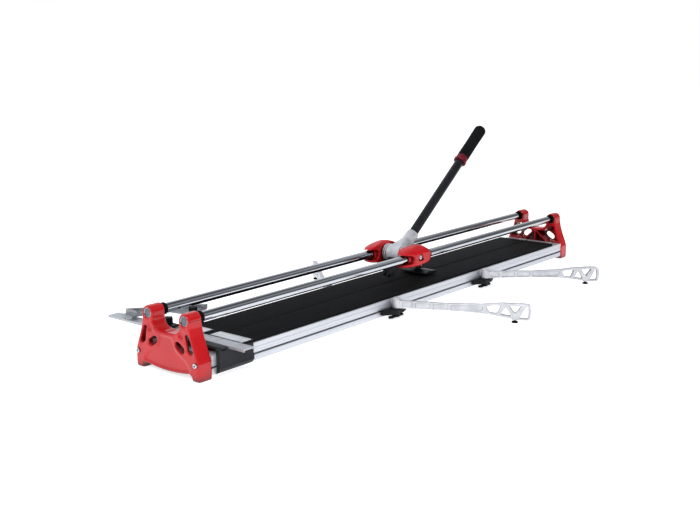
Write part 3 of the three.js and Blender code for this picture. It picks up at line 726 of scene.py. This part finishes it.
soft_light("key", (-2.8, -1.4, 2.2), (-0.3, 0, 0), 0.6, 0.6, 46)
soft_light("glint", (-2.3, -0.7, 1.9), (-0.9, 0, 0), 0.3, 0.3, 26, diffuse=False)
soft_light("overhead", (0.0, 0.0, 2.8), (0, 0, 0), 3.2, 1.2, 34, glossy=False)
soft_light("front", (-0.6, -3.0, 1.2), (0, 0, 0), 3.0, 1.0, 26, glossy=False)
bpy.context.scene.view_settings.view_transform = "Standard"

# ---------------------------------------------------------------- base


def mirrored(points, sign):
    return [(sign * a, b) for a, b in points]


SMOOTH = 70  # crease angles: edges flatter than this are shaded round
CAST = 60
BELLY = [(0, 96), (22, 94), (32, 66), (66, 45), (79, 31), (82, 21), (62, 19), (30, 16), (0, 15)]
BELLY_DEPTH = 3.2
SPLIT_LOW, SPLIT_HIGH = 142.3, 143.5  # clamp split beside each rail end
SPLIT_IN, SPLIT_OUT = 77, 95
OVERSHOOT = 5


def end_support(end, sign):
    """A casting with a shallow recess in its outer face, softened edges and a clamp split at each rail."""
    made = cad(end + "_end_support_casting", end + "_end_support")
    face = sign * SUPPORT_FACE
    inner = sign * SUPPORT_INNER
    belly = BELLY + [(-a, b) for a, b in reversed(BELLY[1:-1])]
    low, high = sorted((face - sign * BELLY_DEPTH, face + sign * OVERSHOOT))
    cut(made, prism("belly", rounded(belly, 6), "x", low, high))
    remesh(made, 1.15)
    relax(made, 5)
    relax(made, 26, lambda x, y, h: (np.abs(x) - 901) / 6)
    relax(made, 3)
    low, high = sorted((face + sign * OVERSHOOT, inner - sign * OVERSHOOT))
    splits = []
    for side in (-1, 1):
        a, b = side * SPLIT_IN, side * SPLIT_OUT
        slot = [(a, SPLIT_LOW), (b, SPLIT_LOW), (b, SPLIT_HIGH), (a, SPLIT_HIGH)]
        splits.append(prism("split", slot, "x", low, high))
    cut(made, *splits)
    finish_piece(made, end + "_end_support", crease=SMOOTH)


for end, sign in ENDS:
    end_support(end, sign)

PLUG_R = 10.2
PLUG_EDGE = 0.3

for side, sign in SIDES:
    y = sign * RAIL_Y
    mouth = [(0, 4), (10.3, 4), (10.6, 0.5), (11.5, 0), (12.1, 0.3), (RAIL_R, 1.3)]
    tail = [(r, 2 * RAIL_END - s) for r, s in reversed(mouth)]
    rail = lathe("rail_bar_" + side, mouth + tail, (-RAIL_END, y, RAIL_H), "x", 96)
    finish_piece(rail, "guide_rail_" + side)
    for end, turn in ENDS:
        front, back = turn * (RAIL_END - 1.0), turn * (RAIL_END - 4.2)
        plug = [
            (0, back), (PLUG_R, back), (PLUG_R, front - turn * PLUG_EDGE), (PLUG_R - 0.2, front), (0, front),
        ]
        cap = lathe(f"rail_plug_{end}_{side}", plug, (0, y, RAIL_H), "x", 48)
        finish_piece(cap, "guide_rail_" + side, "rail_plug", stands_for=False)

FIT = 0.3  # gap between fixed parts


def sleeve(bore, radius, near, far):
    """A ring's section: bore and outer radius between two distances."""
    return [(bore, near), (radius, near), (radius, far), (bore, far)]


for end, turn in ENDS:
    for side, sign in SIDES:
        node = f"rail_buffer_{end}_{side}"
        near, far = sorted((turn * (SUPPORT_INNER - FIT), turn * (SUPPORT_INNER - BUFFER_LENGTH)))
        shape = rounded(sleeve(BUFFER_BORE_R, BUFFER_R, near, far), 1.2)
        ring = lathe(node + "_ring", shape, (0, sign * RAIL_Y, RAIL_H), "x", 64, ring=True)
        finish_piece(ring, node)

# Sections of the right-hand side profile, pad and the rib, as (y, h).
PROFILE = [
    (74, 10), (110, 10), (110, 25), (105, 25), (105, 20), (98, 20), (98, 35), (105, 35), (105, 30),
    (110, 30), (110, 43.4), (109.4, 44), (110, 44.6), (110, 56.2), (74, 56.2),
]
PAD = [(3, 56.5), (107.5, 56.5), (107.5, PAD_TOP), (3, PAD_TOP)]
RIB = [(-2.6, 56.5), (2.6, 56.5), (2.6, 63), (1.5, 65), (-1.5, 65), (-2.6, 63)]

for side, sign in SIDES:
    reach = SUPPORT_INNER - FIT
    skin = prism("side_rail_" + side, rounded(mirrored(PROFILE, sign), 0.9), "x", -reach, reach)
    finish_piece(skin, "side_profile_" + side)
    section = rounded(mirrored(PAD, sign), 1.3, 4)
    pad = prism("table_pad_" + side, section, "x", -PAD_HALF_LENGTH, PAD_HALF_LENGTH)
    finish_piece(bevel(pad, 0.9), "rubber_pad_" + side)

rib = prism("rib_strip", rounded(RIB, 0.6), "x", -RIB_HALF_LENGTH, RIB_HALF_LENGTH)
finish_piece(rib, "breaking_rib", "table_rubber")


def cap_screw(name, at, turn, axis, node, radius=6, height=3.7, socket=3.0, stem=4.0, length=12):
    """A socket head screw whose head points along turn on the axis. socket is half its width over flats."""
    profile = [
        (0, -length), (stem, -length), (stem, 0.3), (radius - 0.2, 0.3), (radius, 0.6),
        (radius, height - 0.7), (radius - 0.3, height - 0.2), (radius - 0.9, height), (0, height),
    ]
    profile = [(r, turn * s) for r, s in profile]
    head = lathe(name, profile, at, axis, 40)
    low, high = sorted((turn * (height - 2.4), turn * (height + 1)))
    along, across = (0, 1) if axis == "x" else (1, 0)
    hexagon = []
    for k in range(6):
        angle = math.radians(60 * k)
        corner = socket / 0.866
        hexagon.append((at[across] + corner * math.cos(angle), at[2] + corner * math.sin(angle)))
    tool = prism("socket", hexagon, axis, at[along] + low, at[along] + high)
    finish_piece(cut(head, tool), node)


for end, turn in ENDS:
    for side, sign in SIDES:
        at = (turn * SUPPORT_FACE, sign * BOLT_Y, BOLT_H)
        cap_screw(f"frame_screw_{end}_{side}", at, turn, "x", f"support_bolt_{end}_{side}")

# ---------------------------------------------------------------- carriage


def reshape(made, rule):
    """Moves every vertex to where the rule puts its x, y and h, in millimetres."""
    mesh = made.data
    at = np.zeros(len(mesh.vertices) * 3)
    mesh.vertices.foreach_get("co", at)
    x, y, h = (at.reshape(-1, 3) / MM).T
    x, y, h = rule(x, y, h + RIB_TOP)
    mesh.vertices.foreach_set("co", (np.stack([x, y, h - RIB_TOP], axis=1) * MM).ravel())
    mesh.update()
    return made


CROWN_FROM, CROWN_REACH = 60, 31  # how far out the flank begins to draw in, and over what width
POCKET_FLOOR = 83.6


def cheek(side, sign):
    """The shell round a bushing: crowned flank, triangular recess for the adjuster, lip at the near mouth."""
    made = cad("cheek_" + side, "carriage_cheek_" + side)
    x, h = PIVOT[0], ADJUSTER_H

    def crown(at_x, at_y, at_h):
        """The flank draws in all round towards its outer face, most at the tail."""
        out = np.clip((np.abs(at_y) - CROWN_FROM) / CROWN_REACH, 0, 1) ** 2.0
        tail = np.clip((at_x - x) / 80, 0, 1)
        in_x = 1 - out * (0.16 + 0.12 * tail)
        over = np.where(at_h > h, 0.30, 0.20)
        lift = out * 10 * tail * np.clip((h - at_h) / 30, 0, 1)
        return x + (at_x - x) * in_x, at_y, h + (at_h - h) * (1 - out * over) + lift

    remesh(made, 1.0)
    reshape(made, crown)
    relax(made, 12)
    pocket = rounded([(x - 15, h - 9), (x + 17, h - 11), (x + 3, h + 14)], 5)
    low, high = sorted((sign * POCKET_FLOOR, sign * (POCKET_FLOOR + 11.4)))
    cut(made, prism("pocket", pocket, "y", low, high))
    lip = rounded(sleeve(13.5, 17, -33, -20.5), 1.2)
    merge(made, lathe("lip", lip, (0, sign * RAIL_Y, RAIL_H), "x", 64, ring=True))
    remesh(made, 0.8)
    relax(made, 5)
    finish_piece(made, "carriage_cheek_" + side, "cheek_paint", crease=SMOOTH)


BUSHING = sleeve(12.85, 16, -19, 85)
WASHER_IN, WASHER_OUT = 36.3, 39.7
WASHER_R = 24

for side, sign in SIDES:
    cheek(side, sign)
    y = sign * RAIL_Y
    shape = rounded(BUSHING, 0.8)
    bush = lathe("bushing_" + side, shape, (0, y, RAIL_H), "x", 64, ring=True)
    finish_piece(bush, "rail_bushing_" + side)
    at = (PIVOT[0], sign * ADJUSTER_FACE, ADJUSTER_H)
    cap_screw("adjuster_" + side, at, sign, "y", "bushing_adjuster_" + side, 6.3, 4.2, 2.6, 4.0, 4)
    near, far = sorted((sign * WASHER_IN, sign * WASHER_OUT))
    shape = rounded(sleeve(SHAFT_BORE_R, WASHER_R, near, far), 0.5)
    washer = lathe("washer_" + side, shape, (PIVOT[0], 0, PIVOT[1]), "y", 64, ring=True)
    finish_piece(washer, "thrust_washer_" + side)


def pin(name, node, at, half, radius, sides=32):
    """A round pin across the machine, chamfered at both ends."""
    edge = min(0.5, radius * 0.2)
    end = [(0, half), (radius - edge, half), (radius, half - edge)]
    profile = [(r, -d) for r, d in end] + end[::-1]
    finish_piece(lathe(name, profile, (at[0], 0, at[1]), "y", sides), node)


pin("pivot_bar", "pivot_shaft", PIVOT, 47, SHAFT_R, 40)
pin("wheel_pin", "wheel_axle", WHEEL, 12.5, 2.5)
pin("foot_pin", "breaker_pin", FOOT_PIN, 14, 3.5)

# ---------------------------------------------------------------- lever


BALL_STEPS = 12
BLOB_STEPS = 6
GROOVES = (-31, -24, 24, 31)
GROOVE_HALF = 1.2
GROOVE_DEPTH = 3
grip_at = (MOUTH[0], 0, MOUTH[1])


def rod(radius, low, high):
    """A plain round bar's profile for lathe."""
    return [(0, low), (radius, low), (radius, high), (0, high)]


def handle_head():
    """The lever's casting: a neck blends hub and socket, and four grooves run round the hub's ends."""
    made = cad("lever_casting", "handle_head")
    blobs = []
    for k in range(BLOB_STEPS + 1):
        t = k / BLOB_STEPS
        x, h = PIVOT[0] + t * 42, PIVOT[1] + 4 + t * 22
        radius = 20.5 - 2.5 * t
        lateral = 13 * (1 - t) ** 1.3
        turns = [math.pi * n / BALL_STEPS for n in range(1, BALL_STEPS)]
        ball = [(radius * math.sin(turn), -radius * math.cos(turn)) for turn in turns]
        ball = [(0, -radius), *ball, (0, radius)]
        for offset in sorted({-lateral, 0.0, lateral}):
            blobs.append(lathe("blob", ball, (x, offset, h), "z", 24))
    merge(made, *blobs)
    remesh(made, 0.9)
    relax(made, 10, lambda x, y, h: 1 - (np.hypot(x - PIVOT[0], h - PIVOT[1]) < 27) * (np.abs(y) > 30))
    hinge = (PIVOT[0], 0, PIVOT[1])
    tools = []
    for place in GROOVES:
        low, high = place - GROOVE_HALF, place + GROOVE_HALF
        groove = sleeve(HUB_R - GROOVE_DEPTH, HUB_R + GROOVE_DEPTH, low, high)
        tools.append(lathe("groove", groove, hinge, "y", 64, ring=True))
    tools.append(lathe("bore", rod(TUBE_R + FIT, -45, 3), grip_at, "handle", 48))
    tools.append(lathe("shaft_bore", rod(SHAFT_BORE_R, -40, 40), hinge, "y", 48))
    cut(made, *tools)
    finish_piece(made, "handle_head", crease=40)


handle_head()

tube = [
    (0, -43.7), (TUBE_R - 0.3, -43.7), (TUBE_R, -43), (TUBE_R, GRIP_END - 9), (TUBE_R - 0.3, GRIP_END - 8),
    (0, GRIP_END - 8),
]
finish_piece(lathe("lever_tube", tube, grip_at, "handle", 64), "handle_tube")
screw_x, screw_h = HEAD_SCREW
screw = [(0, -20.5), (2.6, -20.5), (3, -20.1), (3, -15), (0, -15)]
screw_head = lathe("head_screw", screw, (screw_x, 0, screw_h), "y", 32)
cut(screw_head, box("slot", screw_x - 4, screw_x + 4, -21, -19.6, screw_h - 0.4, screw_h + 0.4))
finish_piece(screw_head, "socket_screw")

collar = [
    (COLLAR_BORE_R, GRIP_START - 21.5), (19.7, GRIP_START - 22), (21.2, GRIP_START - 20.5),
    (21.2, GRIP_START - 14), (19.4, GRIP_START - 11), (18.8, GRIP_START - 9), (19.2, GRIP_START - 7),
    (19.2, GRIP_START - 0.3), (COLLAR_BORE_R, GRIP_START - 0.3),
]
finish_piece(lathe("collar", rounded(collar, 0.9), grip_at, "handle", 72, ring=True), "grip_ring")


KNURL_LEADS = 12
KNURL_PITCH = 0.55
KNURL_DEPTH = 0.35


def handle_grip():
    """A knurled rubber grip, slightly waisted, with a domed end."""
    profile = [(14.7, GRIP_START + 0.1), (GRIP_R - 1.2, GRIP_START), (GRIP_R - 0.2, GRIP_START + 0.8)]
    start, end = GRIP_START + 2, GRIP_END - 17
    count = 150
    for k in range(count + 1):
        s = start + (end - start) * k / count
        waist = 0.7 * math.sin(math.pi * (s - start) / (end - start)) ** 2
        profile.append((GRIP_R - 0.15 - waist, s))
    for k in range(1, 9):
        angle = math.pi / 2 * k / 8.5
        profile.append((GRIP_R * math.cos(angle), GRIP_END - 16.4 + 16.2 * math.sin(angle)))
    profile.append((0, GRIP_END - 0.05))
    bottom = [(0, GRIP_END - 7.6), (14.7, GRIP_END - 7.6)]

    def knurl(angle, s):
        if s < start + 4 or s > end - 6:
            return 0.0
        a = math.sin(KNURL_LEADS * angle + s * KNURL_PITCH)
        b = math.sin(KNURL_LEADS * angle - s * KNURL_PITCH)
        return KNURL_DEPTH * max(0.0, a * b) ** 0.7

    made = lathe("lever_grip", bottom + profile, grip_at, "handle", 144, flute=knurl)
    finish_piece(made, "handle_grip", crease=CAST)


handle_grip()


def softened(name, node, voxel, rounds, look=None):
    """A CAD node's own shape with its edges rounded as cast or moulded."""
    made = cad(name, node)
    remesh(made, voxel)
    relax(made, rounds)
    finish_piece(made, node, look, crease=CAST)


softened("jaw", "jaw_bracket", 0.8, 5)
softened("snapping_foot", "breaker_foot", 0.8, 4)

flank = [(2.8, -2), (7.2, -2), (7.5, -1.8), (WHEEL_R - 0.1, -0.15)]
wheel = [*flank, (WHEEL_R, 0), *((r, -d) for r, d in reversed(flank))]
finish_piece(lathe("cutting_wheel", wheel, (WHEEL[0], 0, WHEEL[1]), "y", 64, ring=True), "scoring_wheel")

# ---------------------------------------------------------------- lateral stop


BEAM = [
    (STOP_NEAR, 65.4), (STOP_NEAR, 72), (-831, 72), (-831, STOP_FLOOR), (-781, STOP_FLOOR), (-781, 70.7),
    (STOP_FAR, 70.7), (STOP_FAR, 65.4),
]
CLAMP = [
    (110.6, 66), (110.6, 9.5), (96, 9.5), (96, 7.5), (108, 7.5), (118, 13), (124.5, 22), (124, 29),
    (122, 40), (122, 70), (108, 70), (108, 66),
]
CLAMP_NEAR = -853
STOP_HALF_WIDTH = 122
BRIDGE_IN = 98  # the bridge that holds the lock knob, over the sliding bar
BRIDGE_FAR = -781.5
BRIDGE_FOOT, BRIDGE_ROOF, BRIDGE_TOP = 66, 75, 80
RIB_GAP = 13
CHANNEL = (-822.3, -785.7)  # the sliding bar's way through, along x
CHANNEL_TOP = 73.3
GRIP_GROOVES = [(-127.6, -123.4), (121.0, 130.0)]  # across, in the right and the left clamp's flank


def lateral_stop():
    """The beam across the table with its end clamps, the bar's channel and the bridge over it."""
    made = prism("stop_body", rounded(BEAM, 0.5), "y", -STOP_HALF_WIDTH, STOP_HALF_WIDTH)
    cut(made, box("gap", -790, -730, -RIB_GAP, RIB_GAP, STOP_FLOOR, BRIDGE_TOP))
    tools = []
    for _, sign in SIDES:
        tools.append(prism("clamp", rounded(mirrored(CLAMP, sign), 1.6), "x", CLAMP_NEAR, STOP_FAR))
    near, far = CHANNEL
    for name, x0, x1, low in (
        ("bridge_near", STOP_NEAR, near, BRIDGE_FOOT),
        ("bridge_far", far, BRIDGE_FAR, BRIDGE_FOOT),
        ("bridge_top", STOP_NEAR, BRIDGE_FAR, BRIDGE_ROOF),
    ):
        tools.append(box(name, x0, x1, BRIDGE_IN, STOP_HALF_WIDTH, low, BRIDGE_TOP))
    add(made, *tools)
    cut(made, box("channel", near, far, -200, 200, STOP_FLOOR, CHANNEL_TOP))
    grooves = []
    for low, high in GRIP_GROOVES:
        for x in range(-826, -755, 14):
            face = rounded([(x, 24), (x + 7, 24), (x + 7, 58), (x, 58)], 2)
            grooves.append(prism("groove", face, "y", low, high))
    cut(made, *grooves)
    bevel(made, 0.5, 2, 40)
    finish_piece(made, "stop_beam", crease=35)


lateral_stop()

PLATE_IN, PLATE_OUT = 14, 121
PLATE_LOW, PLATE_TOP = 71, 73

for side, sign in SIDES:
    low, high = sorted((sign * PLATE_IN, sign * PLATE_OUT))
    corners = [(PLATE_NEAR, low), (PLATE_FAR, low), (PLATE_FAR, high), (PLATE_NEAR, high)]
    plate = prism("rule_" + side, rounded(corners, 1.2), "z", PLATE_LOW, PLATE_TOP)
    finish_piece(bevel(plate, 0.35), "scale_plate_" + side, "scale_plate")

BAR = [
    (-822, 66.4), (-819, 66.4), (-819, 70.4), (-789, 70.4), (-789, 66.4), (-786, 66.4), (-786, 73),
    (-792, 73), (-792.4, 72.3), (-794, 72.3), (-794.4, 73), (-822, 73),
]
BAR_RIGHT, BAR_LEFT = -173, 333
bar = prism("sliding_bar", rounded(BAR, 0.5), "y", BAR_RIGHT, BAR_LEFT)
finish_piece(bar, "fence_bar", "stop_aluminium")


def lobes(radius, count, depth, steps=90):
    """The outline of a knob with that many rounded lobes."""
    points = []
    for k in range(steps):
        angle = 2 * math.pi * k / steps
        reach = radius - depth * (0.5 - 0.5 * math.cos(count * angle)) ** 1.4
        points.append((reach * math.cos(angle), reach * math.sin(angle)))
    return points


def lobed_knob(name, node, at, radius, depth, low, high, neck, neck_low, stem, stem_low):
    """A five-lobed knob from low to high, dished on top, on its neck and threaded stem."""
    outline = [(at[0] + a, at[1] + b) for a, b in lobes(radius, 5, depth)]
    made = prism(name, outline, "z", low, high)
    merge(
        made,
        lathe("neck", rod(neck, neck_low, low + 1), (*at, 0), "z", 32),
        lathe("stem", rod(stem, stem_low, low + 1), (*at, 0), "z", 24),
    )
    dimple = [(radius * 0.45, high + 1), (radius * 0.38, high - 0.8), (0, high - 1.1), (0, high + 1)]
    remesh(made, 0.55)
    relax(made, 10)
    cut(made, lathe("dimple", dimple, (*at, 0), "z", 48))
    finish_piece(made, node, crease=45)


lobed_knob("lock_knob", "stop_lock_knob", LOCK, 13, 3, 84, 102, 8, 80.3, 5, 75.3)
lobed_knob("fin_knob", "square_knob", SQUARE_KNOB, 12, 2, 83.3, 94, 6, 83.1, 4, 78.2)
softened("swivel_square", "set_square", 0.7, 4, "square_aluminium")

# ---------------------------------------------------------------- swing arms


def arm_frame(x, sign, angle):
    """Takes an arm lying along X from the origin to its place on its pivot, in the row frame."""
    turn = math.radians(angle)
    place = Matrix.Translation(Vector((x, sign * ARM_PIVOT_Y, 0))) @ Matrix.Rotation(turn, 4, "Z")
    lower = Matrix.Translation((0, 0, RIB_TOP))
    scale = Matrix.Diagonal((MM, MM, MM, 1))
    return scale @ lower.inverted() @ place @ lower @ scale.inverted()


# Pockets in an arm's flanks, as (distance from the pivot, h).
POCKETS = [
    [(17, 34.8), (46, 34.2), (46, 49), (17, 49.4)],
    [(54, 34), (97, 33), (97, 47.8), (54, 48.8)],
    [(105, 32.8), (148, 32), (148, 46.8), (105, 47.6)],
    [(156, 31.8), (200, 30.2), (240, 31), (248, 38), (244, 47), (156, 46.6)],
]
WEB_HALF = 4.2  # what the pockets leave of an arm's thickness
FOOT_BORE_R = 4.5


def support_arm(name, x, sign, angle):
    """A cast arm with pocketed flanks and a bore for its levelling foot, and the foot itself."""
    made = cad("arm_" + name + "_casting", "support_arm_" + name)
    place = arm_frame(x, sign, angle)
    tools = []
    for side in (-1, 1):
        low, high = sorted((side * WEB_HALF, side * 12))
        for pocket in POCKETS:
            tool = prism("pocket", rounded(pocket, 2.5), "y", low, high)
            tool.data.transform(place)
            tools.append(tool)
    cut(made, *tools)
    remesh(made, 1.0)
    relax(made, 5)
    foot_at = place @ to_row((ARM_FOOT_AT, 0, 0))
    at = (foot_at.x / MM, foot_at.y / MM, 0)
    cut(made, lathe("bore", rod(FOOT_BORE_R, 4, 25.7), at, "z", 32))
    finish_piece(made, "support_arm_" + name, crease=CAST)
    foot = [
        (0, 0.4), (8.2, 0.4), (9.2, 0.9), (9.4, 2.2), (8.4, 4.4),
        (7, 4.9), (4.2, 5), (4, 6), (4, 22), (0, 22),
    ]
    finish_piece(lathe("levelling_foot_" + name, foot, at, "z", 48), "arm_foot_" + name)


CAP_LOW = 58.1  # a bracket ends here and its pivot cap begins
HALF_WING = [(-34.6, 0), (-27, 8), (-12, 6.5), (0, 9.5), (12, 6.5), (27, 8)]
WING = HALF_WING + [(-a, -b) for a, b in HALF_WING]


def arm_bracket(name, x, sign):
    """The black clamp that an arm turns on, the arm's pivot cap and the wing knob under it."""
    pivot_y = sign * ARM_PIVOT_Y
    made = cad("bracket_" + name, "arm_bracket_" + name)
    remesh(made, 0.9)
    relax(made, 5)
    cut(made, box("clear", x - 20, x + 20, pivot_y - 20, pivot_y + 20, CAP_LOW, 70))
    finish_piece(made, "arm_bracket_" + name, crease=CAST)
    low = CAP_LOW + 0.05
    top = [(0, low), (10, low), (10.2, 58.5), (10.2, 60.2), (9.4, 61.1), (0, 61.1)]
    cap = lathe("pivot_cap_" + name, top, (x, pivot_y, 0), "z", 40)
    finish_piece(cap, "arm_bracket_" + name, "cast_aluminium", stands_for=False)
    at = (x, sign * (ARM_PIVOT_Y - 2))
    outline = rounded([(at[0] + a, at[1] + b) for a, b in WING], 7, 5)
    knob = prism("wing_knob_" + name, outline, "z", 4.4, 9.7)
    merge(
        knob,
        lathe("neck", [(0, 4.5), (10.6, 4.5), (11, 5.5), (11, 16.4), (0, 16.4)], (*at, 0), "z", 40),
        lathe("stem", rod(4, 15, 25), (*at, 0), "z", 24),
    )
    remesh(knob, 0.6)
    relax(knob, 8)
    finish_piece(knob, "arm_knob_" + name, crease=CAST)


for name, x, sign, angle in ARMS:
    support_arm(name, x, sign, angle)
    arm_bracket(name, x, sign)

# ---------------------------------------------------------------- sizes

low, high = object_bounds()
